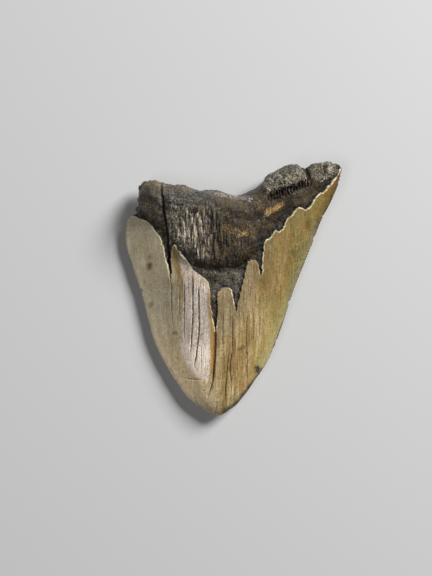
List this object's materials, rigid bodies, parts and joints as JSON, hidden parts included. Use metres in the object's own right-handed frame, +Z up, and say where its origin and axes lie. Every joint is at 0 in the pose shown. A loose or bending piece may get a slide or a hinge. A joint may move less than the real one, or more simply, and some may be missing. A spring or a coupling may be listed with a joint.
{
  "type": "fossil shark tooth",
  "caption": "Large triangular fossil shark tooth with a bulging root, a ragged enamel border and finely serrated cutting edges, lying on its flat face.",
  "frame": {"origin": "on the ground under the middle of the tooth's box, as it lies with its domed face up", "axes": "+Z up out of the domed lingual face, +Y from the tip to the root, +X across the cutting edges toward the root's taller lobe"},
  "size_m": [0.109, 0.1278, 0.0264],
  "materials": {
    "fossil": "mineralised enamel with a satin gloss and a rough dark root"
  },
  "bodies": {
    "root": {"tooth": "fossil"}
  },
  "joints": []
}
